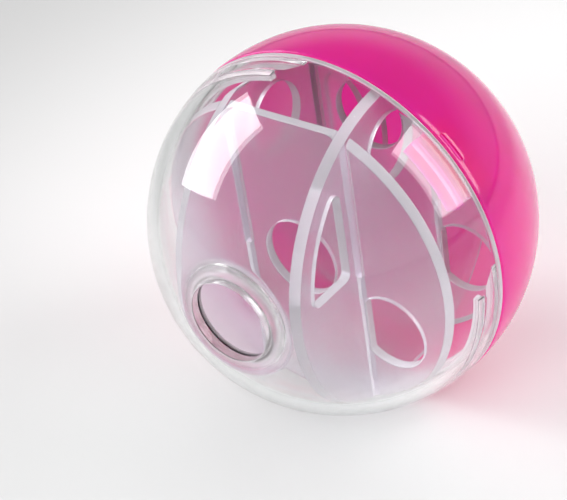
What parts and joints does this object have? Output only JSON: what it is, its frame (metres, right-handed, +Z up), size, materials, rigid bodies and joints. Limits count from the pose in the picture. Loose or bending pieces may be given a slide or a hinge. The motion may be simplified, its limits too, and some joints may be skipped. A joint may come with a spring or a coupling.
{
  "type": "treat dispensing ball",
  "caption": "Hollow treat ball for a cat: a clear half with a lipped treat hole twists onto a pink half and encloses a labyrinth of half-lapped frosted plates.",
  "frame": {"origin": "centre of the ball", "axes": "the ball's axis lies along Y: the treat hole in the clear half faces -Y (front), the pink half is at +Y (back), +Z is up, +X is to the right seen from the treat hole"},
  "size_m": [0.05, 0.0493, 0.05],
  "materials": {
    "clear_plastic": "polished, transparent",
    "pink_plastic": "polished",
    "frosted_plastic": "frosted, translucent"
  },
  "bodies": {
    "pink_half": {"pink_half": "pink_plastic"},
    "labyrinth": {"labyrinth_front_plate": "frosted_plastic", "labyrinth_rear_plate": "frosted_plastic", "labyrinth_right_plate": "frosted_plastic", "labyrinth_left_plate": "frosted_plastic"},
    "clear_half": {"clear_half": "clear_plastic"}
  },
  "joints": [
    {"name": "twist", "type": "hinge", "parent": "pink_half", "child": "labyrinth", "pos_m": [0, 0, 0], "axis": [0, -1, 0], "range_deg": [0, 78]},
    {"name": "pull_off", "type": "slide", "parent": "labyrinth", "child": "clear_half", "axis": [0, -1, 0], "range_m": [0, 0.04]}
  ]
}
